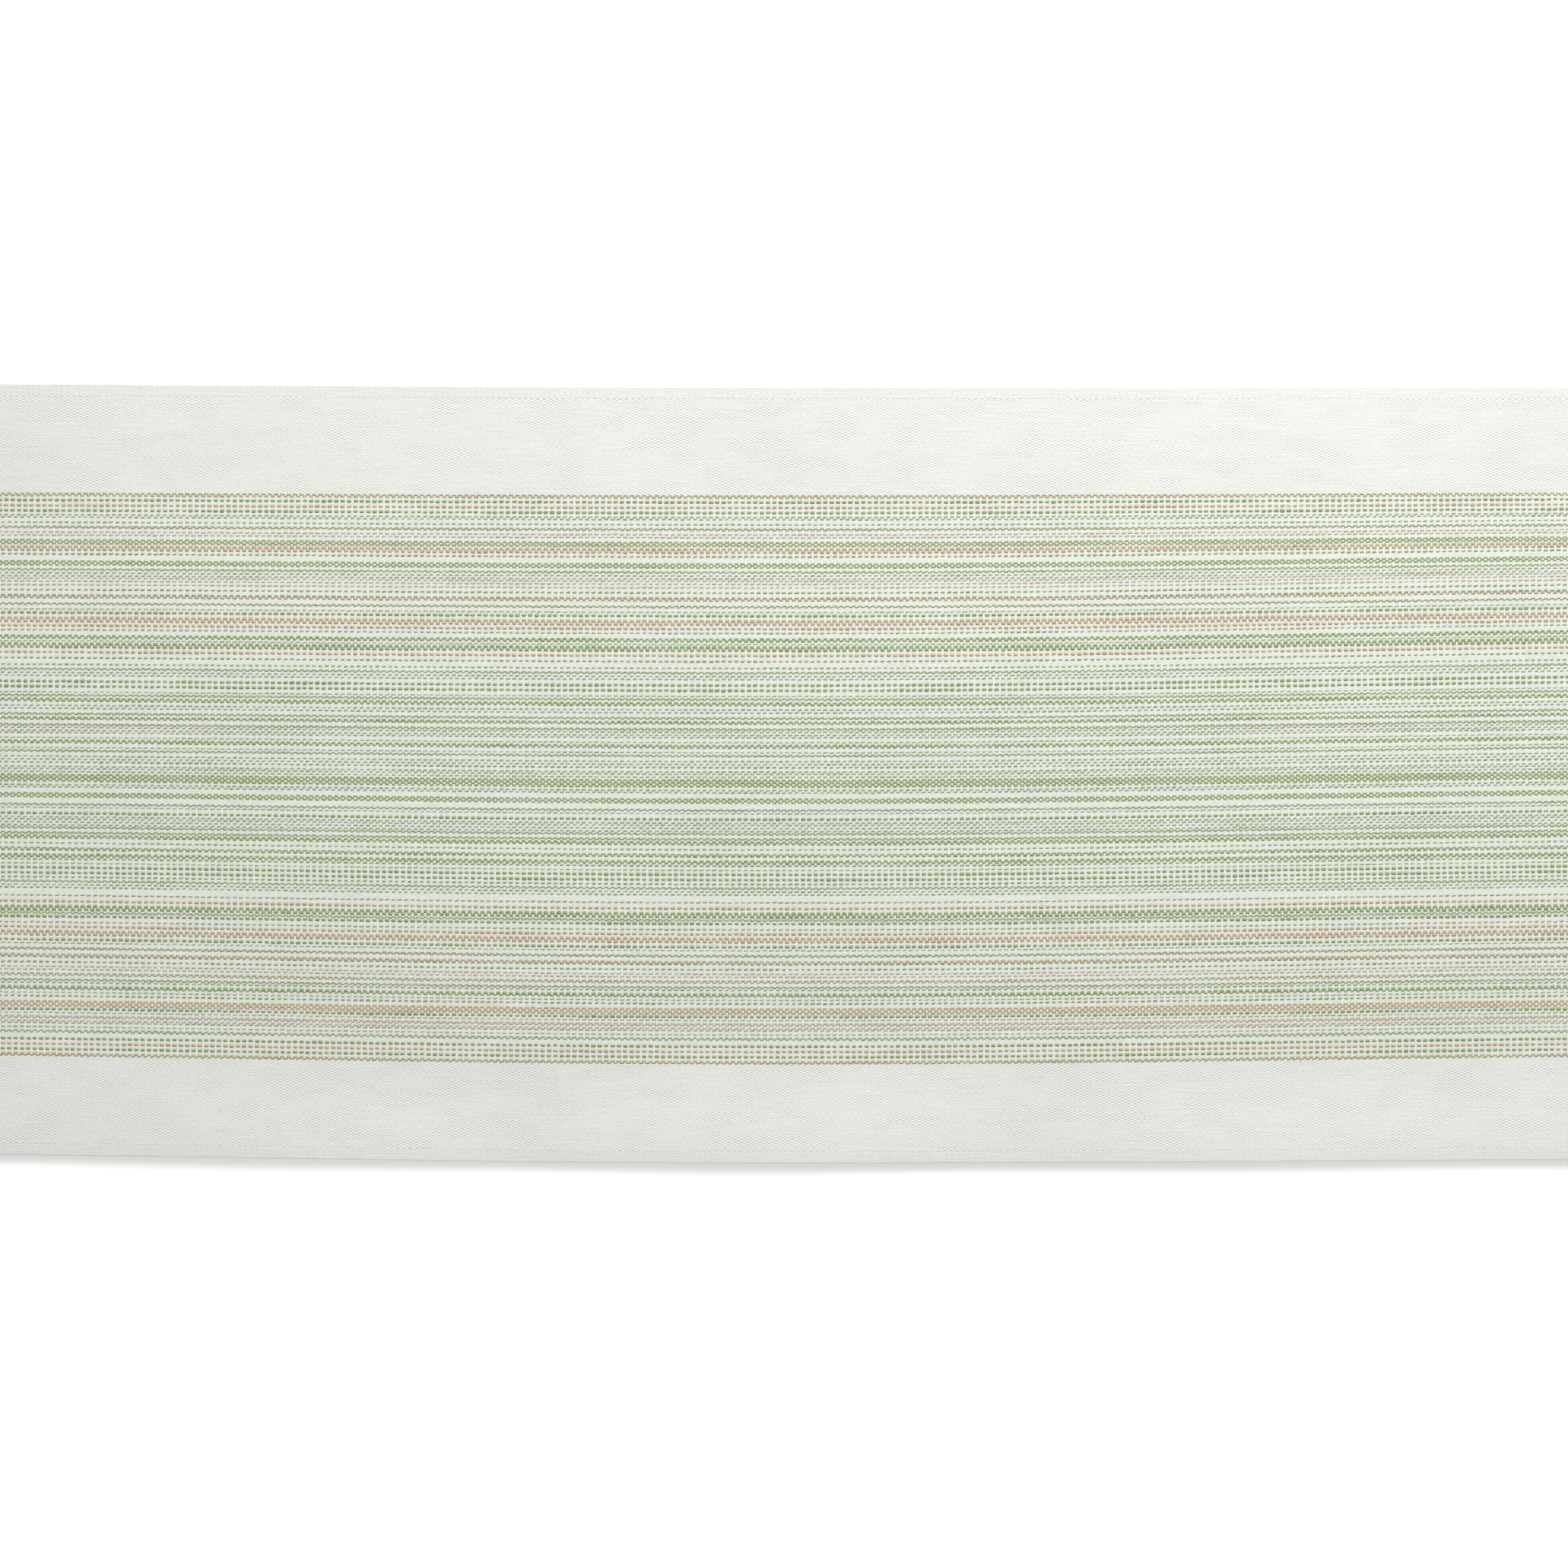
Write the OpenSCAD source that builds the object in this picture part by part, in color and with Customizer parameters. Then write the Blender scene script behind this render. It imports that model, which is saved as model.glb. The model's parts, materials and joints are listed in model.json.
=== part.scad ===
// Woven cotton table runner with coloured warp stripes, lying flat with its underside on z = 0.
// X runs along the length, +Y is the back edge, +Z is up. The origin is the middle of the underside.
// The runner is one middle stretch and two ends. Each end hinges on the middle, to hang over a
// table's end or to fold back over the middle.

/* [Cloth] */
// Finished length, end to end
runner_l = 1829; // [1500:1:2200]
// Finished width, selvedge to selvedge
runner_w = 330; // [305:1:381]
// Thickness of the woven cloth
cloth_t = 0.7; // [0.5:0.05:1]
// How far the coloured yarns stand above the cloth
rib_h = 0.2; // [0.1:0.05:0.4]
// Share of its place in the warp that one coloured yarn fills
rib_fill = 0.9; // [0.5:0.05:0.95]

/* [Bands] */
// Plain band behind the stripes, selvedge included
back_band_w = 46; // [30:1:60]
// Plain band in front of the stripes, selvedge included
front_band_w = 42; // [30:1:60]
// Dense woven edge along both sides
selvedge_w = 5; // [3:0.5:8]

/* [Hems] */
// Width of the double-turned hem at each end
hem_w = 15; // [10:1:25]
// Room between two layers of the hem
layer_gap = 0.25; // [0.2:0.05:0.4]
// Stretch in which the cloth comes down from the hem to the table
ramp_l = 30; // [20:1:45]
// Distance of the stitching from the hem's inner fold
stitch_inset = 2; // [1.5:0.5:4]
// Distance from one stitch to the next
stitch_pitch = 2.8; // [2:0.1:4]
// Length of one stitch
stitch_l = 2.2; // [1.5:0.1:3]
// Width of the sewing thread
thread_w = 0.35; // [0.2:0.05:0.5]

/* [Folds] */
// Length of each end that hangs over a table's end
drop_l = 305; // [150:1:450]
// Height of the hinge line above the underside
fold_z = 1.1; // [1:0.05:1.6]
// Clearance between two parts that pass each other
slit = 0.3; // [0.2:0.05:0.5]

/* [Care label] */
// Width of the blank care label
label_w = 25; // [15:1:40]
// Length of the label that shows past the hem
label_l = 18; // [12:1:25]
// Length of the label caught in the hem
label_caught_l = 8; // [4:1:10]
// Thickness of the label tape
label_t = 0.2; // [0.1:0.05:0.2]
// Distance of the label's middle from the back edge
label_from_back = 60; // [30:1:120]

/* [Hidden] */
$fn = 48;

// The coloured warp from the back to the front, one letter for each coloured yarn. A digit is white
// cloth between two of them, in white yarns of white_w.
//   S sage bold    s sage medium   m sage chain    k sage thick    f sage fine    g sage plain
//   p pale sage    q faint sage    T tan bold      t tan medium    u pale tan
//   o olive fine   a olive medium
DRAFT = str(
    "ot3S3T3S3p1p5p4oo4u2u5mmm1TT3g8mmm4ff2p2p1u2u3u5g5at6ff5q2S3TT2T3p6ss2q1SS",
    "3T5g7p4ff2p2p5S3S5q2ff2ss4p2p5ff2kf5oo1p2p1p5q2ss5q2ff5p2p2g4p1p2p2ssss3p1p",
    "7mmm8ff2q5S2p1p2p2p1ff4ff1ss5p5fk4ss1g4q3S3S3g3ff2p2p9o5T3SS1ff1S5p3T2TT3S2q",
    "5oo5ta5g4u2u4ou4ff1p3Sf3q3g5ttt1S2q3uu2u1o4q3pp6S3T3S3to"
);
white_w = 0.3;
// Letter, width and group of each kind of coloured yarn
YARNS = [
    ["S", 1.3, 0], ["k", 1.0, 0],
    ["s", 0.85, 1], ["m", 0.7, 1],
    ["f", 0.5, 2], ["g", 0.68, 2],
    ["p", 0.65, 3], ["q", 0.5, 4],
    ["T", 1.3, 5], ["t", 0.9, 5],
    ["u", 0.65, 6],
    ["o", 0.55, 7], ["a", 0.85, 7]
];
YARN_COLORS = [
    "#8fa876", "#97ae80", "#9cb188", "#b4c2a2", "#c3c9b4", "#c4ae90", "#d2c3ab", "#a3a274"
];
COTTON = "#eae9e2";
DENSE_COTTON = "#e4e3da";
THREAD = "#f1f0ea";

// Derived places along the length
half_l = runner_l / 2;
fold_x = half_l - drop_l;
middle_half_l = fold_x - fold_z - slit;
drop_x = fold_x + slit;
ramp_x = half_l - hem_w - ramp_l;
hem_x = half_l - hem_w;

// Derived heights of the hem's layers
middle_z = cloth_t + layer_gap;
top_z = 2 * middle_z;
hem_h = top_z + cloth_t;
end_turn_r = hem_h / 2;
inner_turn_r = cloth_t + layer_gap / 2;
end_turn_x = half_l - end_turn_r;
inner_turn_x = hem_x + inner_turn_r;

// Derived places across the width
half_w = runner_w / 2;
field_y = half_w - back_band_w;
field_w = runner_w - back_band_w - front_band_w;

// Depth by which a stitch sinks into the cloth
stitch_sink = 0.2;
stitch_x = hem_x + stitch_inset;
stitch_count = floor((runner_w - 2 * stitch_inset) / stitch_pitch);

function is_white(c) = ord(c) >= ord("0") && ord(c) <= ord("9");
function yarn(c) = YARNS[search([c], YARNS, 1, 0)[0]];
function place_w(c) = is_white(c) ? (ord(c) - ord("0")) * white_w : yarn(c)[1];
// Distance from the field's back edge to the start of each place in the draft
starts = [for (i = 0, y = 0; i < len(DRAFT); y = y + place_w(DRAFT[i]), i = i + 1) y];
draft_w = starts[len(DRAFT) - 1] + place_w(DRAFT[len(DRAFT) - 1]);
draft_scale = field_w / draft_w;
// Middle and width of each coloured yarn of one group
function yarn_places(group) = [
    for (i = [0 : len(DRAFT) - 1])
        if (!is_white(DRAFT[i]) && yarn(DRAFT[i])[2] == group)
            [
                field_y - (starts[i] + place_w(DRAFT[i]) / 2) * draft_scale,
                place_w(DRAFT[i]) * draft_scale * rib_fill
            ]
];

// The right end as drawn, or the left end as its mirror image
module at_end(side) {
    if (side == "left") mirror([1, 0, 0]) children();
    else children();
}

// A side view, drawn in X and Z, pulled across the width from y - w / 2 to y + w / 2
module across(y, w) {
    translate([0, y, 0]) rotate([90, 0, 0]) linear_extrude(w, center = true) children();
}

// One flat strip of cloth of a stretch, between two distances from the middle line
module strip(side, y_low, y_high, tint) {
    color(tint)
        if (side == "middle")
            translate([-middle_half_l, y_low, 0])
                cube([2 * middle_half_l, y_high - y_low, cloth_t]);
        else
            at_end(side)
                translate([drop_x, y_low, 0])
                    cube([ramp_x - drop_x, y_high - y_low, cloth_t]);
}

module back_selvedge(side) { strip(side, half_w - selvedge_w, half_w, DENSE_COTTON); }
module back_border(side) { strip(side, field_y, half_w - selvedge_w, COTTON); }
module striped_ground(side) { strip(side, field_y - field_w, field_y, COTTON); }
module front_border(side) { strip(side, selvedge_w - half_w, field_y - field_w, COTTON); }
module front_selvedge(side) { strip(side, -half_w, selvedge_w - half_w, DENSE_COTTON); }

// Side view of a coloured yarn on an end: flat, up the ramp and over the hem
module yarn_side_view() {
    polygon([
        [drop_x, cloth_t], [ramp_x, cloth_t], [hem_x, hem_h], [end_turn_x, hem_h],
        [end_turn_x, hem_h + rib_h], [hem_x, hem_h + rib_h],
        [ramp_x, cloth_t + rib_h], [drop_x, cloth_t + rib_h]
    ]);
}

// All coloured yarns of one group, as ribs on the striped ground
module yarns(side, group) {
    color(YARN_COLORS[group])
        for (place = yarn_places(group))
            if (side == "middle")
                translate([-middle_half_l, place[0] - place[1] / 2, cloth_t])
                    cube([2 * middle_half_l, place[1], rib_h]);
            else
                at_end(side) across(place[0], place[1]) yarn_side_view();
}

// Half of a ring about [x, z], on the side that dir points to along X
module half_ring(x, z, outer, inner, dir) {
    translate([x, z])
        intersection() {
            difference() {
                circle(outer);
                circle(inner);
            }
            translate([dir > 0 ? 0 : -outer, -outer]) square([outer, 2 * outer]);
        }
}

// Side view of the hem: down the ramp, round the end, back under and turned in once more
module hem_side_view() {
    polygon([[ramp_x, 0], [hem_x, top_z], [hem_x, hem_h], [ramp_x, cloth_t]]);
    translate([hem_x, top_z]) square([end_turn_x - hem_x, cloth_t]);
    half_ring(end_turn_x, end_turn_r, end_turn_r, end_turn_r - cloth_t, 1);
    translate([inner_turn_x, 0]) square([end_turn_x - inner_turn_x, cloth_t]);
    half_ring(inner_turn_x, inner_turn_r, inner_turn_r, inner_turn_r - cloth_t, -1);
    translate([inner_turn_x, middle_z]) square([end_turn_x - inner_turn_x, cloth_t]);
}

module end_hem(side) { color(COTTON) at_end(side) across(0, runner_w) hem_side_view(); }

// A row of stitches across the hem, their lower side at height z
module stitch_row(side, z, h) {
    color(THREAD)
        at_end(side)
            for (i = [0 : stitch_count - 1])
                translate([
                    stitch_x - thread_w / 2,
                    (i - (stitch_count - 1) / 2) * stitch_pitch - stitch_l / 2,
                    z
                ])
                    cube([thread_w, stitch_l, h]);
}

module needle_thread(side) { stitch_row(side, hem_h - stitch_sink, stitch_sink + rib_h + 0.1); }
module bobbin_thread(side) { stitch_row(side, 0, stitch_sink); }

// Blank tape, caught between the hem's top two layers and lying along the ramp's underside
module care_label() {
    ramp_slope = top_z / ramp_l;
    caught_z = middle_z + cloth_t + (layer_gap - label_t) / 2;
    free_z = caught_z - label_l * ramp_slope;
    color("white")
        at_end("left")
            across(half_w - label_from_back, label_w)
                polygon([
                    [hem_x + label_caught_l, caught_z], [hem_x, caught_z],
                    [hem_x - label_l, free_z], [hem_x - label_l, free_z + label_t],
                    [hem_x, caught_z + label_t], [hem_x + label_caught_l, caught_z + label_t]
                ]);
}

for (side = ["left", "middle", "right"]) {
    back_selvedge(side);
    back_border(side);
    striped_ground(side);
    front_border(side);
    front_selvedge(side);
    yarns(side, 0);
    yarns(side, 1);
    yarns(side, 2);
    yarns(side, 3);
    yarns(side, 4);
    yarns(side, 5);
    yarns(side, 6);
    yarns(side, 7);
}
for (side = ["left", "right"]) {
    end_hem(side);
    needle_thread(side);
    bobbin_thread(side);
}
care_label();
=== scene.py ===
"""Woven cotton table runner with coloured warp stripes: the looks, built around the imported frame.

Cloth coordinates: u runs along the length from the middle, v across the width towards the back, h
up from the cloth's underside, all in metres. at() turns them into places in the row's own frame.
"""

import json
import math

import bpy
import numpy as np
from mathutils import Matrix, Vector


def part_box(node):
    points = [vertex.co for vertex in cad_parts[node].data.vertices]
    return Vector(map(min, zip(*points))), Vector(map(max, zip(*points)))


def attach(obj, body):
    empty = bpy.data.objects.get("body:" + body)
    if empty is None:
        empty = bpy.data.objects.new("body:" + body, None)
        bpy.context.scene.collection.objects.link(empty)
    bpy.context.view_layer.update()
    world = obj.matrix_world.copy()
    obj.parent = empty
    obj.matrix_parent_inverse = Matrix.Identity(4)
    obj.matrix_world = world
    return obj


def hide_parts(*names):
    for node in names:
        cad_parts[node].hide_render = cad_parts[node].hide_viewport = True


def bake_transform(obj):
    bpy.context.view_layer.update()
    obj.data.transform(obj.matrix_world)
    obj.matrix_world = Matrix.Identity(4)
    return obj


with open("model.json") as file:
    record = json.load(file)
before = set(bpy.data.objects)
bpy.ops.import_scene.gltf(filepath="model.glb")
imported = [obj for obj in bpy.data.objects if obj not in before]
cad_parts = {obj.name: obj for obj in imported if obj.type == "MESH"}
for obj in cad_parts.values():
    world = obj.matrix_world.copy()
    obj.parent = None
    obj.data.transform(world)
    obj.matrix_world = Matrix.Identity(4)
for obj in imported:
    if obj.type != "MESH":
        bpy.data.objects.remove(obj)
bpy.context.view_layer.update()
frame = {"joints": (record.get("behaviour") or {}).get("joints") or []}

# ---------------------------------------------------------------- sizes, from the frame
FOLD = abs(frame["joints"][0]["pos_m"][0])  # the fold lines' distance from the middle
ground_lo, ground_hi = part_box("middle_striped_ground")
hem_lo, hem_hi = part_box("right_end_hem")
back_lo, back_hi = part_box("middle_back_border")
front_lo, front_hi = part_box("middle_front_border")
FIELD_BACK, FIELD_FRONT = ground_hi.y, ground_lo.y
HALF_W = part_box("middle_back_selvedge")[1].y
SELVEDGE_BACK, SELVEDGE_FRONT = back_hi.y, front_lo.y
SELVEDGE_W = HALF_W - SELVEDGE_BACK
T = ground_hi.z  # cloth thickness
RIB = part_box("middle_sage_bold_yarns")[1].z - T  # how far the coloured yarns stand proud
HALF_L = hem_hi.x
RAMP = hem_lo.x  # where the cloth starts to rise to the hem
HEM_W = 0.015  # as the CAD hem's top
HEM = HALF_L - HEM_W  # the hem's inner edge
BEND = 0.009  # length of cloth that bends at a fold
RIPPLE = 0.00022  # a quarter of the ripples' full height
FRONT_LIFT = 0.0037  # how far the front edge stands off the table
GAP = 0.00025  # room between two layers of the hem
TOP_Z = 2 * (T + GAP)  # the top layer's underside
TURN_R = (TOP_Z + T) / 2  # outer radius of the turn at the runner's end
TURN = HALF_L - TURN_R
INNER_R = T + GAP / 2  # outer radius of the turn inside the hem
INNER = HEM + INNER_R
STITCH_X = HEM + 0.002
DENT, DENT_W = 0.00014, 0.0011  # how deep and wide the stitches draw the cloth in
# the cloth's path past the turn: lengths along it, and where the tucked edge ends
TURN_LEN = math.pi * (TURN_R - T / 2)
UNDER_LEN = TURN - INNER
INNER_LEN = math.pi * (INNER_R - T / 2)
TUCKED_SHORT = 0.0004  # the tucked layer stops this far before the turn
PATH_END = TURN + TURN_LEN + UNDER_LEN + INNER_LEN + UNDER_LEN - TUCKED_SHORT

# ---------------------------------------------------------------- the draft of the warp
# Back to front, one letter for each coloured yarn; a digit is white cloth in yarns of WHITE_W.
DRAFT = (
    "ot3S3T3S3p1p5p4oo4u2u5mmm1TT3g8mmm4ff2p2p1u2u3u5g5at6ff5q2S3TT2T3p6ss2q1SS"
    "3T5g7p4ff2p2p5S3S5q2ff2ss4p2p5ff2kf5oo1p2p1p5q2ss5q2ff5p2p2g4p1p2p2ssss3p1p"
    "7mmm8ff2q5S2p1p2p2p1ff4ff1ss5p5fk4ss1g4q3S3S3g3ff2p2p9o5T3SS1ff1S5p3T2TT3S2q"
    "5oo5ta5g4u2u4ou4ff1p3Sf3q3g5ttt1S2q3uu2u1o4q3pp6S3T3S3to"
)
WHITE_W = 0.0003
# letter: width in mm and group
YARNS = {
    "S": (1.3, 0), "k": (1.0, 0), "s": (0.85, 1), "m": (0.7, 1), "f": (0.5, 2), "g": (0.68, 2),
    "p": (0.65, 3), "q": (0.5, 4), "T": (1.3, 5), "t": (0.9, 5), "u": (0.65, 6),
    "o": (0.55, 7), "a": (0.85, 7),
}
GROUPS = [
    "sage_bold", "sage_chain", "sage_fine", "pale_sage", "faint_sage", "tan_bold", "pale_tan", "olive"
]
PITCH = 0.0027  # the weave's repeat along the length


def read_draft():
    """One dict for each coloured yarn: its middle and width across, group, phase and the run of
    coloured yarns, side by side, that it is in."""
    widths = [int(c) * WHITE_W if c.isdigit() else YARNS[c][0] / 1000 for c in DRAFT]
    scale = (FIELD_BACK - FIELD_FRONT) / sum(widths)
    rows, y, order = [], FIELD_BACK, 0
    for i, c in enumerate(DRAFT):
        w = widths[i] * scale
        if c.isdigit():
            order += int(c) // 3
        else:
            if i == 0 or DRAFT[i - 1].isdigit():
                run = []
            row = {"y": y - w / 2, "w": w, "group": YARNS[c][1], "phase": order % 2, "run": run}
            run.append(row)
            rows.append(row)
            order += 1
        y -= w
    return rows


ROWS = read_draft()

# ---------------------------------------------------------------- the cloth's surface


def smooth(x, a, b):
    t = np.clip((x - a) / (b - a), 0, 1)
    return t * t * (3 - 2 * t)


def bow(u, v):
    """How far the weave shifts towards the back, more and more away from the middle of the length.
    It is given at places across the width, for the right and the left half."""
    across = [-0.165, -0.119, -0.05, 0.05, 0.085, 0.119, 0.165]
    right = np.interp(v, across, [0.0021, 0.0048, 0.0052, 0.0052, 0.0048, 0.0016, 0.0])
    left = np.interp(v, across, [0.0052, 0.0054, 0.0050, 0.0026, 0.0021, 0.0016, 0.0020])
    return np.where(u > 0, right, left) * (1 - np.exp(-((u / 0.3) ** 2)))


def wave(u, v):
    """Height of the cloth off the table, apart from the hem's ramp. It rests on its lower floats,
    ripples gently away from the folds and the hems, and its front edge stands up a little."""
    a = np.abs(u)
    rippled = (1 - smooth(a, 0.47, 0.55)) + smooth(a, 0.68, 0.74) * (1 - smooth(a, 0.82, 0.86))
    ripple = RIPPLE * (
        2
        + np.sin(2 * math.pi * (u / 0.23 + v / 0.31) + 0.4)
        + np.sin(2 * math.pi * (u / 0.37 - v / 0.19) + 1.3)
    )
    lift = FRONT_LIFT * (0.9 + 0.1 * np.sin(2 * math.pi * u / 0.21 + 2.0))
    front = np.exp(-(((v + HALF_W) / 0.026) ** 2)) * (1 - smooth(a, 0.38, 0.52))
    return RIB + ripple * rippled * (1 - front) + lift * front


def up_ramp(s):
    """How high the cloth's underside lies at the length s, and how steeply it climbs."""
    t = np.clip((s - RAMP) / (HEM - RAMP), 0, 1)
    return TOP_Z * t * t * (3 - 2 * t), TOP_Z * 6 * t * (1 - t) / (HEM - RAMP)


def at(u, v, h):
    """Points of the cloth in the row's own frame. u is a length along the cloth, signed by the side."""
    u, v, h = np.broadcast_arrays(*(np.asarray(x, float) for x in (u, v, h)))
    s = np.abs(u)
    sign = np.where(u < 0, -1.0, 1.0)
    x = s.copy()
    z, slope = up_ramp(s)
    nx, nz = -slope, np.ones_like(s)  # the way from the lower side to the upper one
    # round the end, back under and turned in once more
    d = s - TURN
    angle = np.clip(d / (TURN_R - T / 2), 0, math.pi)
    turned = d > 0
    x = np.where(turned, TURN + (TURN_R - T) * np.sin(angle), x)
    z = np.where(turned, TURN_R + (TURN_R - T) * np.cos(angle), z)
    nx, nz = np.where(turned, np.sin(angle), nx), np.where(turned, np.cos(angle), nz)
    d = d - TURN_LEN
    x = np.where(d > 0, TURN - d, x)
    d = d - UNDER_LEN
    angle = np.clip(d / (INNER_R - T / 2), 0, math.pi)
    inside = d > 0
    x = np.where(inside, INNER - (INNER_R - T) * np.sin(angle), x)
    z = np.where(inside, INNER_R - (INNER_R - T) * np.cos(angle), z)
    nx, nz = np.where(inside, -np.sin(angle), nx), np.where(inside, -np.cos(angle), nz)
    d = d - INNER_LEN
    x = np.where(d > 0, INNER + d, x)
    # the stitches draw the top and the lowest layer in
    near = DENT * np.exp(-(((x - STITCH_X) / DENT_W) ** 2))
    z += near * np.where(s < TURN, -1.0, np.where((nz < -0.99) & ~inside, 1.0, 0.0))
    return np.stack([sign * (x + nx * h), v + bow(u, v), z + nz * h + wave(u, v)], -1)


# ---------------------------------------------------------------- meshes


def make_mesh(name, co, faces, cloth=None, extra=None, smooth_angle=40):
    """An object from points and a list of face arrays. cloth holds the cloth coordinates."""
    mesh = bpy.data.meshes.new(name)
    mesh.vertices.add(len(co))
    mesh.vertices.foreach_set("co", np.ascontiguousarray(co, np.float32).ravel())
    loops = np.concatenate([f.ravel() for f in faces]).astype(np.int32)
    sizes = np.concatenate([np.full(len(f), f.shape[1]) for f in faces])
    starts = np.concatenate([[0], np.cumsum(sizes)[:-1]]).astype(np.int32)
    mesh.loops.add(len(loops))
    mesh.loops.foreach_set("vertex_index", loops)
    mesh.polygons.add(len(sizes))
    mesh.polygons.foreach_set("loop_start", starts)
    mesh.polygons.foreach_set("use_smooth", np.ones(len(sizes), bool))
    mesh.update(calc_edges=True)
    mesh.validate()
    if smooth_angle:
        mesh.set_sharp_from_angle(angle=math.radians(smooth_angle))
    if cloth is not None:
        layer = mesh.attributes.new("cloth", "FLOAT_VECTOR", "POINT")
        layer.data.foreach_set("vector", np.ascontiguousarray(cloth, np.float32).ravel())
    for key, values in (extra or {}).items():
        layer = mesh.attributes.new(key, "FLOAT", "POINT")
        layer.data.foreach_set("value", np.ascontiguousarray(values, np.float32))
    obj = bpy.data.objects.new(name, mesh)
    bpy.context.scene.collection.objects.link(obj)
    return obj


def sweep(name, section, stations):
    """The closed cross-section (v, h), swept along the cloth through the stations in u."""
    v, h = np.array(section, float).T
    u = np.asarray(stations, float)
    n, k = len(u), len(v)
    uu, vv = np.meshgrid(u, v, indexing="ij")
    co = at(uu, vv, np.broadcast_to(h, (n, k))).reshape(-1, 3)
    i, j = np.meshgrid(np.arange(n - 1), np.arange(k), indexing="ij")
    j2 = (j + 1) % k
    quads = np.stack([i * k + j, i * k + j2, (i + 1) * k + j2, (i + 1) * k + j], -1).reshape(-1, 4)
    caps = [np.arange(k)[None, ::-1], (n - 1) * k + np.arange(k)[None, :]]
    if u[-1] < u[0]:
        quads, caps = quads[:, ::-1], [c[:, ::-1] for c in caps]
    cloth = np.stack([uu, vv, np.broadcast_to(h, (n, k))], -1).reshape(-1, 3)
    return make_mesh(name, co, [quads, *caps], cloth), (n, k)


def band_section(v_lo, v_hi, step=0.005):
    """A flat strip's cross-section, against the clock seen from +X."""
    v = np.linspace(v_lo, v_hi, max(2, int(round((v_hi - v_lo) / step)) + 1))
    return [(x, 0.0) for x in v] + [(x, T) for x in v[::-1]]


def selvedge_cords(v_inner, v_outer):
    """Eight lengthwise cords: places across and how deep the cloth dips there."""
    cords, per = 8, 4
    q = np.linspace(0, 1, cords * per + 1)
    dip = 0.00003 * (1 - np.abs(np.sin(math.pi * q * cords))) + 0.00006 * np.exp(-((q / 0.04) ** 2))
    return v_inner + (v_outer - v_inner) * q, dip


def selvedge_section(v_inner, v_outer):
    """The dense woven edge: lengthwise cords and a rounded outer side."""
    rounded = 0.05  # share of the selvedge's width
    v, dip = selvedge_cords(v_inner, v_inner + (v_outer - v_inner) * (1 - rounded))
    r = T / 2
    arc = [
        (v_outer - (v_outer - v_inner) * rounded * (1 - math.sin(a)), r - (r - 0.00003) * math.cos(a))
        for a in np.linspace(0.25, math.pi - 0.25, 6)
    ]
    low = [(x, float(z)) for x, z in zip(v, dip)]
    high = [(x, T - float(z)) for x, z in zip(v[::-1], dip[::-1])]
    loop = low + arc + high
    return loop if v_outer > v_inner else loop[::-1]


def stations_middle(step=0.005):
    """Places along the middle's length at which its cloth has points."""
    return np.linspace(-FOLD, FOLD, int(round(2 * FOLD / step)) + 1)


def stations_end(sign, step=0.005):
    """Places along an end's length, close together where it bends."""
    close = 0.0006
    bend = np.arange(FOLD, FOLD + BEND + 2 * close, close)
    flat = np.linspace(bend[-1] + step / 2, RAMP, int(round((RAMP - bend[-1]) / step)))
    return sign * np.concatenate([bend, flat])


def stations_hem(sign):
    """Places along the cloth's path through a hem: ramp, top, turn, lower layer, turn, tucked edge."""
    parts = [
        np.linspace(RAMP, HEM, 25),
        np.linspace(HEM, TURN, 22)[1:],
        np.linspace(TURN, TURN + TURN_LEN, 9)[1:],
        np.linspace(TURN + TURN_LEN, TURN + TURN_LEN + UNDER_LEN, 22)[1:],
        np.linspace(PATH_END - UNDER_LEN - INNER_LEN, PATH_END - UNDER_LEN, 9)[1:],
        np.linspace(PATH_END - UNDER_LEN, PATH_END, 6)[1:],
    ]
    return sign * np.concatenate(parts)


# ---------------------------------------------------------------- colours and materials


def srgb(r, g, b):
    """Linear colour from 8-bit sRGB."""
    return [
        (c / 12.92 if c <= 0.04045 else ((c + 0.055) / 1.055) ** 2.4)
        for c in (r / 255, g / 255, b / 255)
    ]


# the yarns' darker and lighter tones
YARN_TONES = {
    "sage_bold": (srgb(135, 153, 102), srgb(160, 177, 130)),
    "sage_chain": (srgb(134, 154, 99), srgb(159, 177, 125)),
    "sage_fine": (srgb(134, 151, 106), srgb(159, 175, 132)),
    "pale_sage": (srgb(146, 159, 125), srgb(174, 184, 155)),
    "faint_sage": (srgb(145, 162, 123), srgb(173, 186, 151)),
    "tan_bold": (srgb(182, 160, 130), srgb(202, 182, 152)),
    "pale_tan": (srgb(183, 169, 150), srgb(201, 189, 172)),
    "olive": (srgb(146, 152, 112), srgb(170, 174, 136)),
}
COTTON = (srgb(214, 214, 209), srgb(222, 222, 218))
FIELD = (srgb(208, 212, 201), srgb(224, 226, 218))
DENSE = (srgb(213, 213, 207), srgb(222, 222, 217))


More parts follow.
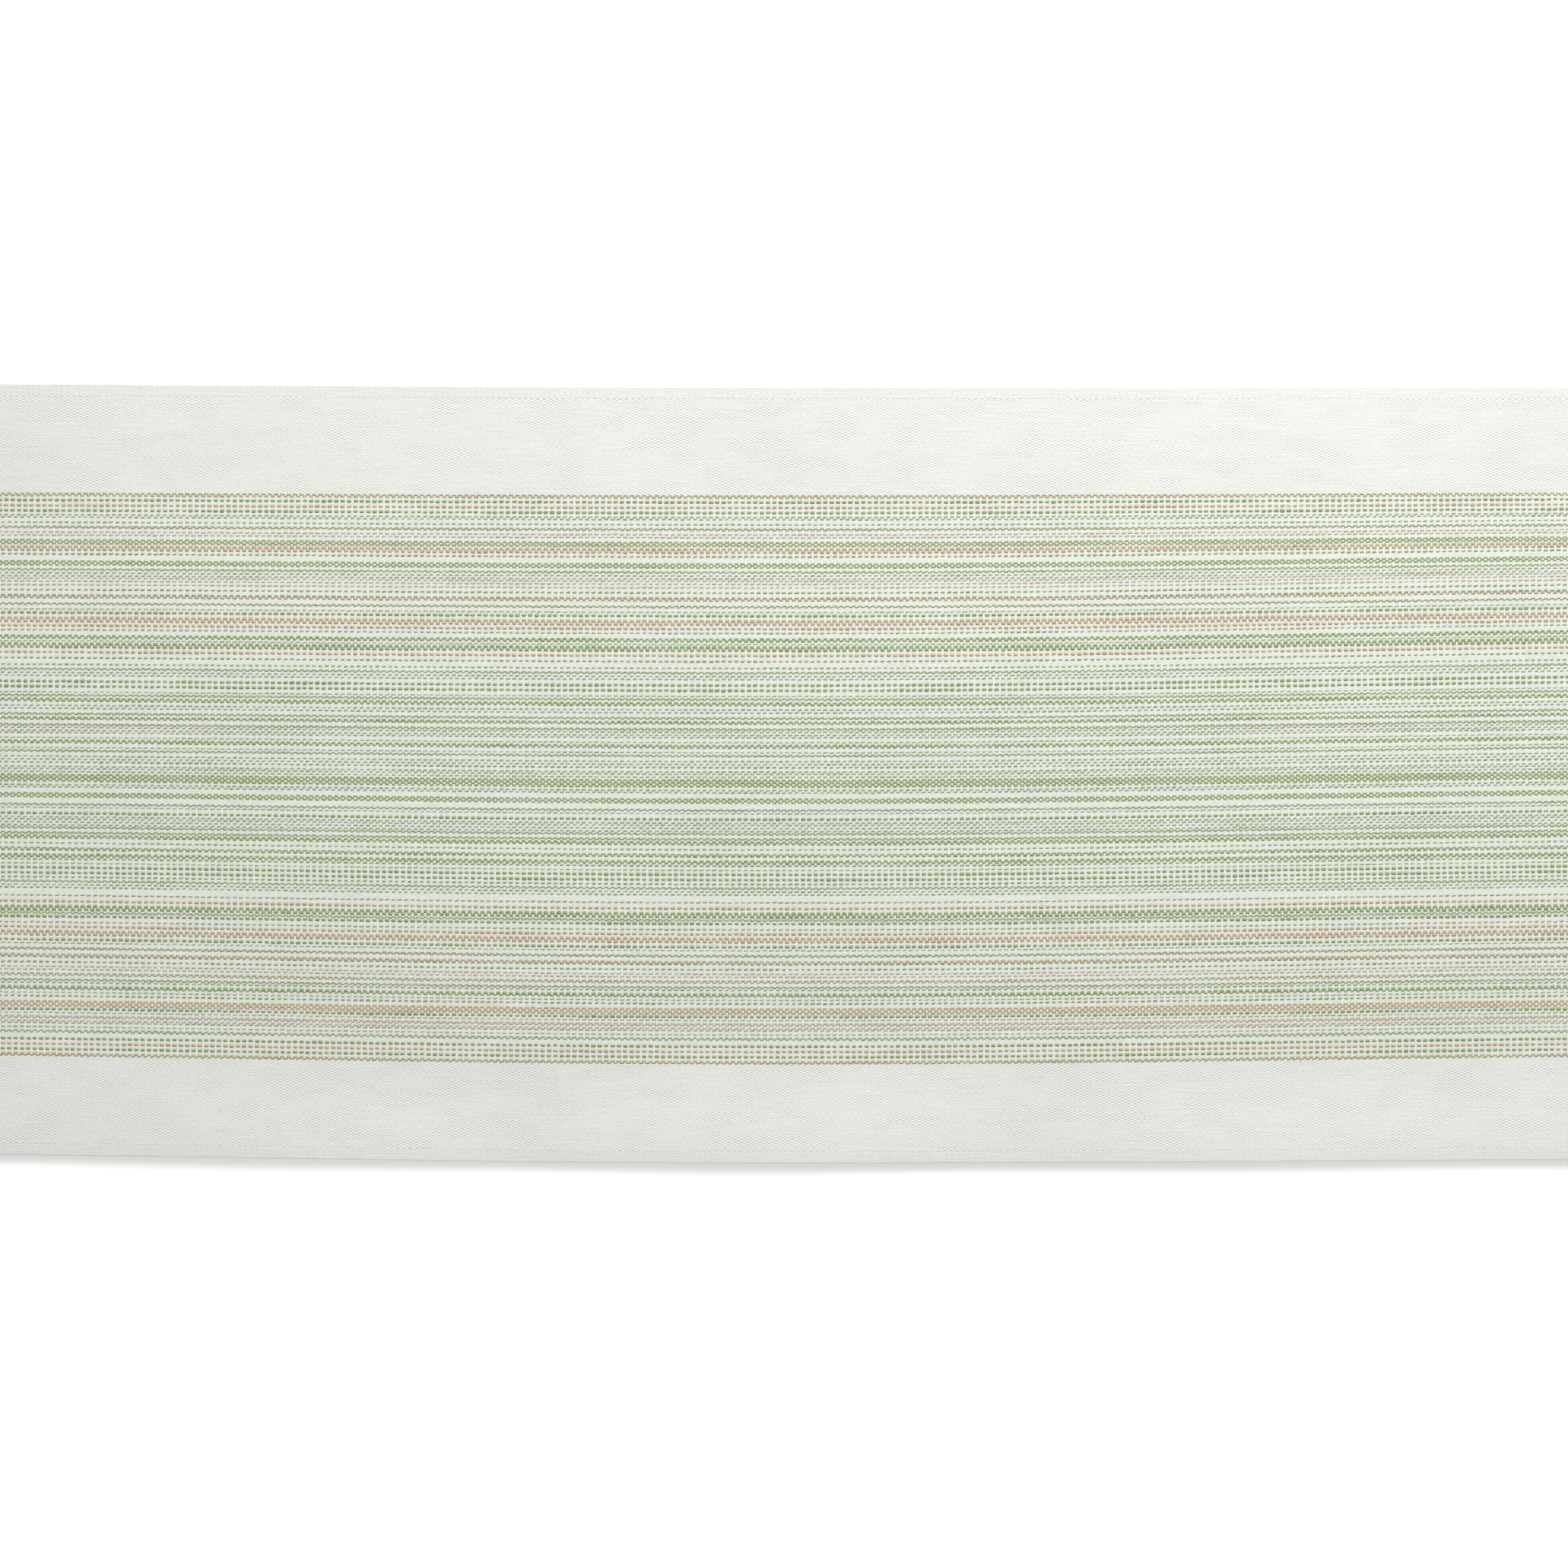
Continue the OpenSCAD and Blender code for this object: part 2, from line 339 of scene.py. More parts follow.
class Graph:
    """A material's node tree, with short calls for the nodes that this scene uses."""

    def __init__(self, name, roughness, sheen, specular=0.2):
        self.material = bpy.data.materials.new(name)
        self.material.use_nodes = True
        self.tree = self.material.node_tree
        self.shader = self.tree.nodes["Principled BSDF"]
        self.shader.inputs["Roughness"].default_value = roughness
        self.shader.inputs["Sheen Weight"].default_value = sheen
        self.shader.inputs["Sheen Roughness"].default_value = 0.45
        self.shader.inputs["Specular IOR Level"].default_value = specular
        self.place = self.attribute("cloth", "Vector")
        split = self.node("ShaderNodeSeparateXYZ", self.place)
        self.u, self.v = split.outputs["X"], split.outputs["Y"]

    def node(self, kind, *inputs, **settings):
        n = self.tree.nodes.new(kind)
        for key, value in settings.items():
            setattr(n, key, value)
        for i, value in enumerate(inputs):
            self.plug(n.inputs[i], value)
        return n

    def plug(self, socket, value):
        if isinstance(value, bpy.types.NodeSocket):
            self.tree.links.new(value, socket)
        elif value is not None:
            socket.default_value = value

    def attribute(self, name, output):
        return self.node("ShaderNodeAttribute", attribute_name=name).outputs[output]

    def math(self, operation, a, b=None, clamp=False):
        n = self.node("ShaderNodeMath", a, b, operation=operation, use_clamp=clamp)
        return n.outputs[0]

    def mix(self, factor, a, b):
        """Colour a where factor is 0 and b where it is 1."""
        n = self.node("ShaderNodeMix", data_type="RGBA")
        self.plug(n.inputs["Factor"], factor)
        self.plug(n.inputs[6], a if not isinstance(a, list) else (*a, 1))
        self.plug(n.inputs[7], b if not isinstance(b, list) else (*b, 1))
        return n.outputs[2]

    def ripple(self, per_u, per_v, shift=0.0):
        """A sine between -1 and 1 with per_u and per_v waves in a metre."""
        a = self.math("MULTIPLY", self.u, 2 * math.pi * per_u)
        b = self.math("MULTIPLY", self.v, 2 * math.pi * per_v)
        return self.math("SINE", self.math("ADD", self.math("ADD", a, b), shift))

    def noise(self, size_u, size_v, detail=2.0):
        """Noise between 0 and 1 whose grains are size_u long and size_v wide, in metres."""
        scaled = self.node(
            "ShaderNodeVectorMath", self.place, (1 / size_u, 1 / size_v, 1000.0), operation="MULTIPLY"
        )
        n = self.node("ShaderNodeTexNoise", scaled.outputs[0], noise_dimensions="3D")
        n.inputs["Scale"].default_value = 1.0
        n.inputs["Detail"].default_value = detail
        return n.outputs["Fac"]

    def span(self, value, low, high):
        """value, from 0 at low to 1 at high."""
        n = self.node("ShaderNodeMapRange", value, low, high, 0.0, 1.0, interpolation_type="SMOOTHSTEP")
        return n.outputs[0]

    def finish(self, colour, height, depth, roughness=None, strength=1.0):
        self.plug(self.shader.inputs["Base Color"], colour)
        if roughness is not None:
            self.plug(self.shader.inputs["Roughness"], roughness)
        bump = self.node("ShaderNodeBump")
        bump.inputs["Strength"].default_value = strength
        bump.inputs["Distance"].default_value = depth
        self.plug(bump.inputs["Height"], height)
        self.plug(self.shader.inputs["Normal"], bump.outputs["Normal"])
        return self.material


def cotton(name, tones, weave, striped=False):
    """Woven cotton. weave is field, plain, corded or hem, which is plain with corded edges;
    striped shows the stripe attribute's yarns."""
    g = Graph(name, roughness=0.88, sheen=0.12)
    mottle = g.noise(0.0011, 0.0009, 3.0)
    streaks = g.noise(0.012, 0.0007, 1.0)
    clouds = g.noise(0.07, 0.05, 1.0)
    cloudy, streaked = (0.1, 0.3) if weave == "field" else (0.25, 0.15)
    tone = g.math("ADD", g.math("MULTIPLY", mottle, 0.6), g.math("MULTIPLY", streaks, streaked))
    tone = g.math("ADD", tone, g.math("MULTIPLY", clouds, cloudy))
    colour = g.mix(g.span(tone, 0.3, 0.7), tones[0], tones[1])
    # seeds of the raw cotton: a few faint brown specks
    scaled = g.node("ShaderNodeVectorMath", g.place, (85.0, 120.0, 0.0), operation="MULTIPLY")
    cells = g.node("ShaderNodeTexVoronoi", scaled.outputs[0], voronoi_dimensions="2D")
    cells.inputs["Scale"].default_value = 1.0
    near = g.math("SUBTRACT", 1.0, g.span(cells.outputs["Distance"], 0.012, 0.03))
    lot = g.node("ShaderNodeSeparateColor", cells.outputs["Color"]).outputs[0]
    chosen = g.math("GREATER_THAN", lot, 0.72)
    speck = g.math("MULTIPLY", g.math("MULTIPLY", near, chosen), 0.3)
    colour = g.mix(speck, colour, srgb(150, 132, 104))
    height = g.math("MULTIPLY", mottle, 0.8)
    picks = g.math("MULTIPLY", g.ripple(1 / PITCH, 0), g.ripple(0, 1 / 0.0012))
    if weave == "field":
        height = g.math("ADD", height, g.math("MULTIPLY", picks, 0.25))
        height = g.math("ADD", height, g.math("MULTIPLY", streaks, 0.4))
    else:
        # a plain weave, here bolder and there smoother, with thicker picks; corded at the selvedge
        bold = g.math("ADD", 0.35, g.span(g.noise(0.02, 0.008, 1.0), 0.35, 0.65))
        woven = g.math("MULTIPLY", g.math("MULTIPLY", picks, bold), 0.55)
        woven = g.math("ADD", woven, g.math("MULTIPLY", streaks, 0.8))
        cords = g.math("MULTIPLY", g.ripple(420, 0), 0.15)
        corded = g.math("ADD", cords, g.math("MULTIPLY", streaks, 0.9))
        if weave == "hem":
            edge = g.math("GREATER_THAN", g.math("ABSOLUTE", g.v), HALF_W - SELVEDGE_W)
            woven = g.math("MULTIPLY", woven, g.math("SUBTRACT", 1.0, edge))
            woven = g.math("ADD", g.math("MULTIPLY", corded, edge), woven)
        height = g.math("ADD", height, corded if weave == "corded" else woven)
    if striped:
        stripe = g.attribute("stripe", "Color")
        code = g.attribute("stripe", "Alpha")
        phase = g.math("MULTIPLY", code, 2 * math.pi)
        turn = g.math("SUBTRACT", g.math("MULTIPLY", g.u, 2 * math.pi / PITCH), phase)
        along = g.math("MULTIPLY", g.math("SUBTRACT", 1.0, g.math("COSINE", turn)), 1.05)
        across = g.math("ABSOLUTE", g.attribute("across", "Fac"))
        inside = g.math("ADD", g.math("POWER", along, 2.0), g.math("POWER", across, 3.0))
        dash = g.math("SUBTRACT", 1.0, g.span(inside, 0.75, 1.0))
        dash = g.math("MULTIPLY", dash, g.math("GREATER_THAN", code, 0.25))
        worn = g.math("SUBTRACT", 1.0, g.math("MULTIPLY", mottle, 0.25))
        colour = g.mix(g.math("MULTIPLY", dash, worn), colour, stripe)
        height = g.math("ADD", height, g.math("MULTIPLY", dash, 1.5))
    rough = g.math("ADD", 0.8, g.math("MULTIPLY", mottle, 0.15))
    return g.finish(colour, height, 0.00012, rough)


def dyed_yarn(name, tones):
    """Soft twisted yarn, its tone from each float's tint and from fibres along it."""
    g = Graph(name, roughness=0.85, sheen=0.1)
    fibres = g.noise(0.0009, 0.00022, 2.0)
    tint = g.attribute("tint", "Fac")
    tone = g.math("ADD", g.math("MULTIPLY", tint, 0.75), g.math("MULTIPLY", fibres, 0.35), clamp=True)
    colour = g.mix(tone, tones[0], tones[1])
    twist = g.ripple(2100, 3400)
    height = g.math("ADD", g.math("MULTIPLY", twist, 0.35), fibres)
    rough = g.math("ADD", 0.75, g.math("MULTIPLY", fibres, 0.2))
    return g.finish(colour, height, 0.00007, rough)


def sewing_thread():
    g = Graph("sewing_thread", roughness=0.55, sheen=0.05, specular=0.4)
    fibres = g.noise(0.0004, 0.0004, 2.0)
    colour = g.mix(fibres, srgb(222, 220, 211), srgb(240, 239, 233))
    height = g.math("ADD", g.math("MULTIPLY", g.ripple(2400, 2400), 0.5), fibres)
    return g.finish(colour, height, 0.00005, g.math("ADD", 0.45, g.math("MULTIPLY", fibres, 0.25)))


def label_satin():
    g = Graph("label_satin", roughness=0.4, sheen=0.05, specular=0.5)
    ribs = g.math("MULTIPLY", g.ripple(1 / 0.0005, 0), g.ripple(0, 1 / 0.0008))
    cloud = g.noise(0.004, 0.0006, 2.0)
    colour = g.mix(cloud, srgb(238, 238, 234), srgb(247, 247, 244))
    height = g.math("ADD", g.math("MULTIPLY", ribs, 0.4), g.math("MULTIPLY", cloud, 0.5))
    return g.finish(colour, height, 0.00004, g.math("ADD", 0.32, g.math("MULTIPLY", cloud, 0.2)))


MATERIALS = {
    "middle_field": cotton("striped_field_cotton", FIELD, "field", striped=True),
    "end_field": cotton("field_cotton", FIELD, "field"),
    "border": cotton("border_cotton", COTTON, "plain"),
    "selvedge": cotton("selvedge_cotton", DENSE, "corded"),
    "hem": cotton("hem_cotton", COTTON, "hem"),
    "thread": sewing_thread(),
    "label": label_satin(),
    **{k: dyed_yarn(k + "_yarn", v) for k, v in YARN_TONES.items()},
}

# ---------------------------------------------------------------- the cloth's bands


def stand_for(obj, material, node):
    """Gives a piece its material, and puts it in the place of a CAD node."""
    obj.data.materials.append(MATERIALS[material])
    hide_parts(node)


def dress(obj, material, node, body):
    """A piece of the middle, which goes with the middle's body, or of an end, whose place is applied to
    its points.
    """
    stand_for(obj, material, node)
    if body == "middle":
        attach(obj, "middle")
    else:
        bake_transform(obj)


def stripe_layer(obj, counts, segment_rows):
    """Corner values for each lengthwise row of faces: its yarn's colour, with the yarn's phase in
    alpha (0 none, 0.5 or 1), and "across", from -1 at one side of the yarn to 1 at the other."""
    n, k = counts
    table = np.zeros((k, 4), np.float32)
    across = np.zeros((k, 4), np.float32)
    for j, row in enumerate(segment_rows):
        if row is not None:
            dark, light = YARN_TONES[GROUPS[row["group"]]]
            table[j, :3] = [0.45 * a + 0.55 * b for a, b in zip(dark, light)]
            table[j, 3] = 0.5 + 0.5 * (1 - row["phase"])
            across[j] = (-1, 1, 1, -1)
    quads = np.repeat(np.tile(table, (n - 1, 1)), 4, axis=0)
    colours = np.concatenate([quads, np.zeros((2 * k, 4))]).astype(np.float32)
    layer = obj.data.attributes.new("stripe", "FLOAT_COLOR", "CORNER")
    layer.data.foreach_set("color", colours.ravel())
    sides = np.concatenate([np.tile(across, (n - 1, 1)).ravel(), np.zeros(2 * k)]).astype(np.float32)
    layer = obj.data.attributes.new("across", "FLOAT", "CORNER")
    layer.data.foreach_set("value", sides)


def row_edges():
    """Places across the field where a coloured yarn starts or ends, front to back."""
    edges = [FIELD_FRONT, FIELD_BACK]
    for r in ROWS:
        edges += [r["y"] - r["w"] / 2, r["y"] + r["w"] / 2]
    edges = np.array(sorted(edges))
    return edges[np.concatenate([[True], np.diff(edges) > 2e-6])]


EDGES = row_edges()


def row_at(v):
    return next((r for r in ROWS if abs(v - r["y"]) < r["w"] / 2), None)


# for each step between two edges, the yarn that lies there
STEP_ROWS = [row_at((a + b) / 2) for a, b in zip(EDGES[:-1], EDGES[1:])]


def field_cloth(name, side, stations):
    """The striped ground. Under the middle, where no floats are, its lower side shows the yarns."""
    if side:
        return sweep(name, band_section(FIELD_FRONT, FIELD_BACK), stations)[0]
    top = np.linspace(FIELD_BACK, FIELD_FRONT, 49)
    section = [(v, 0.0) for v in EDGES] + [(v, T) for v in top]
    obj, counts = sweep(name, section, stations)
    stripe_layer(obj, counts, STEP_ROWS)
    return obj


def hem_cloth(name, stations):
    """The whole width of the hem: ramp, top, end turn, lower layer and tucked edge."""
    edge = HALF_W - 0.0002
    front_v, front_dip = selvedge_cords(SELVEDGE_FRONT, -edge)
    back_v, back_dip = selvedge_cords(SELVEDGE_BACK, edge)
    middle = np.linspace(SELVEDGE_FRONT, SELVEDGE_BACK, 65)[1:-1]
    across = np.concatenate([front_v[::-1], middle, back_v])
    dip = np.concatenate([front_dip[::-1], np.zeros(len(middle)), back_dip])
    round_v, round_h = HALF_W - 0.00006, 0.00015  # the rounded outer sides
    rim = [(round_v, round_h), (HALF_W, T / 2), (round_v, T - round_h)]
    low = list(zip(across, dip))
    high = list(zip(across[::-1], T - dip[::-1]))
    return sweep(name, low + rim + high + [(-v, h) for v, h in rim[::-1]], stations)[0]


cloth, all_floats = {}, {}
for side_name, sign in (("left", -1), ("middle", 0), ("right", 1)):
    body = "middle" if sign == 0 else side_name + "_end"
    stations = stations_middle() if sign == 0 else stations_end(sign)
    field = field_cloth(side_name + "_field_cloth", sign, stations)
    material = "end_field" if sign else "middle_field"
    dress(field, material, side_name + "_striped_ground", body)
    for band, v_inner, v_outer in (
        ("back", FIELD_BACK, SELVEDGE_BACK), ("front", SELVEDGE_FRONT, FIELD_FRONT)
    ):
        node = f"{side_name}_{band}_border"
        piece, _ = sweep(node + "_cloth", band_section(v_inner, v_outer), stations)
        dress(piece, "border", node, body)
        cloth[side_name, band] = piece
    for band, v_inner, v_outer in (
        ("back", SELVEDGE_BACK, HALF_W), ("front", SELVEDGE_FRONT, -HALF_W)
    ):
        node = f"{side_name}_{band}_selvedge"
        piece, _ = sweep(node + "_cloth", selvedge_section(v_inner, v_outer), stations)
        dress(piece, "selvedge", node, body)
        cloth[side_name, band + "_selvedge"] = piece
    cloth[side_name, "field"] = field

for side_name, sign in (("left", -1), ("right", 1)):
    hem = hem_cloth(side_name + "_hem_cloth", stations_hem(sign))
    stand_for(hem, "hem", side_name + "_end_hem")
    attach(hem, side_name + "_end")
    cloth[side_name, "hem"] = hem

# ---------------------------------------------------------------- the coloured yarns' floats

END_FLOATS = TURN + TURN_LEN + UNDER_LEN  # how far along the cloth the floats go
REPEATS = 360  # of the weave, each way from the middle: more than the cloth's length holds
SHORTEST = 0.0002  # a float cut at a fold or at the hem's end keeps at least this length
SUNK = 0.00005  # how far a float's outline lies in the cloth
MOST_YARNS = 24  # in one piece
# what yarns side by side look like: one, two, or three and more
RUN_KINDS = {"dashes": (1,), "zigzags": (2,), "chains": (3, 4, 5)}
# a float's outline, as shares of its half length and half width
BAR = np.array([(1, -1), (1, 1), (-1, 1), (-1, -1)])
ROUND = np.array(
    [(1, -0.35), (1, 0.35), (0.6, 1), (-0.6, 1), (-1, 0.35), (-1, -0.35), (-0.6, -1), (0.6, -1)]
)
POINTED = np.array([(1, 0), (0.56, 1), (-0.56, 1), (-1, 0), (-0.56, -1), (0.56, -1)])


def drift(rng, u, count=5):
    """A slow random change along the cloth, about 0 with a spread of about 1."""
    total = np.zeros_like(u)
    for _ in range(count):
        wavelength = rng.uniform(0.018, 0.16)
        total += np.sin(2 * math.pi * u / wavelength + rng.uniform(0, 2 * math.pi))
    return total / math.sqrt(count / 2)


def float_shape(row):
    """How long and wide a yarn's floats are, as shares of the repeat and of its place, and how far
    they shift across. Two yarns side by side make a zigzag, three or more a chain of rings."""
    run, thin = row["run"], 1 - smooth(row["w"], 0.0007, 0.0011)
    if len(run) == 1:
        return 0.8, 1.18 + 0.32 * thin, 0.0
    if len(run) == 2:
        return 0.75, 1.28 + 0.34 * thin, 0.0
    if row is run[0]:
        return 0.79, 1.26 + 0.1 * thin, 0.0001
    if row is run[-1]:
        return 0.79, 1.26 + 0.1 * thin, -0.0001
    return 0.64, 1.45 + 0.1 * thin, 0.0


def lenses(uv, along, across, outline, base, top):
    """Closed lenses round the places uv: points (u, v, h), an outline and then two ridge points."""
    ridge = np.array([(0.5, 0), (-0.5, 0)])
    shape = np.concatenate([outline, ridge])
    p = (
        uv[:, None, :] + shape[None, :, :1] * along[:, None, :] + shape[None, :, 1:] * across[:, None, :]
    )
    h = np.concatenate([np.full((len(uv), len(outline)), base), np.repeat(top[:, None], 2, 1)], 1)
    return np.concatenate([p, h[..., None]], -1)


def row_floats(number, row, lower=False):
    """One yarn's floats: places, half vectors along and across, heights and tints. The lower ones
    are shorter and lie under the cloth, between the upper ones."""
    rng = np.random.default_rng((3000 if lower else 1000) + number)
    k = np.arange(-REPEATS, REPEATS + 1)
    centre = (k + (row["phase"] + lower) / 2) * PITCH
    slow, size = drift(rng, centre), drift(rng, centre)
    jitter = rng.normal(size=(len(k), 5))
    share, widen, shift = (0.56, 1.1, 0.0) if lower else float_shape(row)
    length = share * PITCH * (1 + 0.04 * size + 0.04 * jitter[:, 0])
    width = row["w"] * widen * (1 + 0.07 * size + 0.06 * jitter[:, 1])
    lean = 0.10 if row["w"] < 0.0008 and len(row["run"]) < 3 else 0.03
    uv = np.stack([centre + 0.00007 * jitter[:, 2], row["y"] + shift + 0.00004 * jitter[:, 3]], -1)
    along = np.stack([length / 2, lean * length / 2], -1)
    across = np.stack([np.zeros(len(k)), width / 2], -1)
    top = RIB * (0.7 + 0.3 * np.clip(width / 0.0011, 0, 1))
    top = -0.6 * top if lower else T + top
    tint = np.clip(0.5 + 0.16 * slow + 0.16 * jitter[:, 4], 0, 1)
    return uv, along, across, top, tint


def row_links(number, row, nxt):
    """Where two yarns lie side by side, the slanting stretches between their floats."""
    rng = np.random.default_rng(5000 + number)
    k = np.arange(-2 * REPEATS, 2 * REPEATS + 1)
    u = (k / 2 + 0.25 + row["phase"] / 2) * PITCH
    down = np.where(k % 2 == 0, -1.0, 1.0)
    gap = row["y"] - nxt["y"]
    jitter = rng.normal(size=(len(k), 3))
    uv = np.stack([u, np.full(len(k), (row["y"] + nxt["y"]) / 2) + 0.00004 * jitter[:, 0]], -1)
    along = np.stack([np.full(len(k), 0.13 * PITCH), down * 0.42 * gap], -1)
    across = np.stack([-along[:, 1], along[:, 0]], -1)
    thin = 1 - smooth(row["w"], 0.0007, 0.0011)
    share = 0.27 + 0.12 * thin if len(row["run"]) == 2 else 0.4
    width = share * row["w"] * (1 + 0.08 * jitter[:, 1])
    across *= (width / np.linalg.norm(across, axis=1))[:, None]
    tint = np.clip(0.5 + 0.16 * drift(rng, u) + 0.14 * jitter[:, 2], 0, 1)
    return uv, along, across, np.full(len(k), T + RIB * 0.75), tint


def lens_faces(outline, count):
    """The faces of count lenses: a fan to each ridge point, two long sides and the flat underside."""
    m = len(outline)
    base = (np.arange(count) * (m + 2))[:, None]
    right, left = m, m + 1
    threes, fours = [], []
    for i in range(m):
        j = (i + 1) % m
        a, b = outline[i][0], outline[j][0]
        if a * b < 0:
            here, there = (right, left) if a > 0 else (left, right)
            fours.append(base + np.array([i, j, there, here]))
        else:
            threes.append(base + np.array([i, j, right if a + b > 0 else left]))
    return np.concatenate(threes), np.concatenate(fours), base + np.arange(m)[::-1]


def float_group(name, chosen, sign, u_lo, u_hi):
    """All floats of the chosen yarns between u_lo and u_hi, as one mesh of closed lenses. The ends,
    which can be folded over, have lower floats too, as far as the hem."""
    points, tints, threes, fours, unders, count = [], [], [], [], [], 0

    def add(parts, outline, lower=False):
        nonlocal count
        uv, along, across, top, tint = parts
        lo, hi = (max(u_lo, -HEM), min(u_hi, HEM)) if lower else (u_lo, u_hi)
        half = np.abs(along[:, 0])
        keep = (uv[:, 0] + half > lo + SHORTEST) & (uv[:, 0] - half < hi - SHORTEST)
        base = SUNK if lower else T - SUNK
        p = lenses(uv[keep], along[keep], across[keep], outline, base, top[keep])
        p[..., 0] = np.clip(p[..., 0], lo, hi)
        for made, faces in zip((threes, fours, unders), lens_faces(outline, len(p))):
            made.append((faces[:, ::-1] if lower else faces) + count)
        points.append(p.reshape(-1, 3))
        tints.append(np.repeat(tint[keep], len(outline) + 2))
        count += p.shape[0] * p.shape[1]

    for number in chosen:
        row = ROWS[number]
        outline = POINTED if row["group"] in (1, 2, 3) else ROUND
        add(row_floats(number, row), outline)
        if row is not row["run"][-1]:
            add(row_links(number, row, ROWS[number + 1]), BAR)
        if sign:
            add(row_floats(number, row, lower=True), outline, lower=True)
    flat = np.concatenate(points)
    co = at(*flat.T)
    by_size = {}
    for faces in (*threes, *fours, *unders):
        by_size.setdefault(faces.shape[1], []).append(faces)
    return make_mesh(
        name, co, [np.concatenate(v) for v in by_size.values()], flat,
        {"tint": np.concatenate(tints)}, smooth_angle=0,
    )


def halves(chosen):
    """The chosen yarns by what to add to their piece's name: many yarns make two pieces."""
    if len(chosen) <= MOST_YARNS:
        return {"": chosen}
    half = len(chosen) // 2
    return {"_back": chosen[:half], "_front": chosen[half:]}


for side_name, sign in (("left", -1), ("middle", 0), ("right", 1)):
    body = "middle" if sign == 0 else side_name + "_end"
    u_lo, u_hi = {-1: (-END_FLOATS, -FOLD), 0: (-FOLD, FOLD), 1: (FOLD, END_FLOATS)}[sign]
    for group, kind in enumerate(GROUPS):
        for part, sizes in RUN_KINDS.items():
            chosen = [i for i, r in enumerate(ROWS) if r["group"] == group and len(r["run"]) in sizes]
            for half, yarns in halves(chosen).items() if chosen else ():
                name = f"{side_name}_{kind}_{part}{half}"
                piece = float_group(name, yarns, sign, u_lo, u_hi)
                dress(piece, kind, f"{side_name}_{kind}_yarns", body)
                all_floats.setdefault(side_name, []).append(piece)

# ---------------------------------------------------------------- stitches and label


STITCH_PITCH, STITCH_LEN = 0.0028, 0.0022
THREAD_INSET = 0.00006  # how far the threads stay inside the CAD threads' height
THREAD_TURN = 0.00006  # how unevenly the stitches lie


def stitches(name, sign, node, upper):
    """A row of thread arches across the hem, each dipping into the cloth at both its ends."""
    lo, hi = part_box(node)
    radius = (hi.x - lo.x) / 2
    x = abs(lo.x + hi.x) / 2
    count = int(round((hi.y - lo.y - STITCH_LEN) / STITCH_PITCH)) + 1
    start = (lo.y + hi.y) / 2 - (count - 1) / 2 * STITCH_PITCH
    rng = np.random.default_rng(7 if upper else 8)
    # one stitch: its thickness and how deep it lies along t, and its tube's faces
    rings, sides = 9, 8
    t = np.linspace(-1, 1, rings)
    angle = np.linspace(0, 2 * math.pi, sides, endpoint=False)
    r = radius * (0.55 + 0.45 * np.sqrt(np.clip(1 - t ** 4, 0, 1)))
    sinks = np.abs(t) ** 2.4
    if upper:
        z = hi.z + RIB - THREAD_INSET - radius - 0.00055 * sinks
    else:
        z = lo.z + THREAD_INSET + 0.8 * radius + 0.0003 * sinks
    pz = z[:, None] + 0.78 * r[:, None] * np.sin(angle)
    a, b = np.meshgrid(np.arange(rings - 1), np.arange(sides), indexing="ij")
    b2 = (b + 1) % sides
    tube = np.stack([a * sides + b, a * sides + b2, (a + 1) * sides + b2, (a + 1) * sides + b], -1)
    co, cloth_co, faces = [], [], []
    for i in range(count):
        turned = THREAD_TURN * rng.normal()
        px = sign * (x + turned * t)[:, None] + r[:, None] * np.cos(angle)
        py = (start + i * STITCH_PITCH + t * STITCH_LEN / 2)[:, None] + np.zeros(sides)
        co.append(np.stack([px, py + bow(px, py), pz], -1).reshape(-1, 3))
        cloth_co.append(np.stack([np.abs(px), py, pz], -1).reshape(-1, 3))
        faces.append(i * rings * sides + tube.reshape(-1, 4))
    firsts = np.arange(count)[:, None] * rings * sides
    caps = np.concatenate([
        firsts + np.arange(sides)[::-1], firsts + (rings - 1) * sides + np.arange(sides)
    ])
    obj = make_mesh(name, np.concatenate(co), [np.concatenate(faces), caps], np.concatenate(cloth_co))
    obj.data.flip_normals()
    stand_for(obj, "thread", node)
    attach(obj, node.split("_")[0] + "_end")
    return obj


for side_name, sign in (("left", -1), ("right", 1)):
    for kind, upper in (("needle", True), ("bobbin", False)):
        stitches(
            f"{side_name}_{kind}_stitches", sign, f"{side_name}_{kind}_thread", upper
        )


LABEL_W, LABEL_L, LABEL_T = 0.025, 0.026, 0.0002
LABEL_CAUGHT = 0.008  # how much of its length lies in the hem


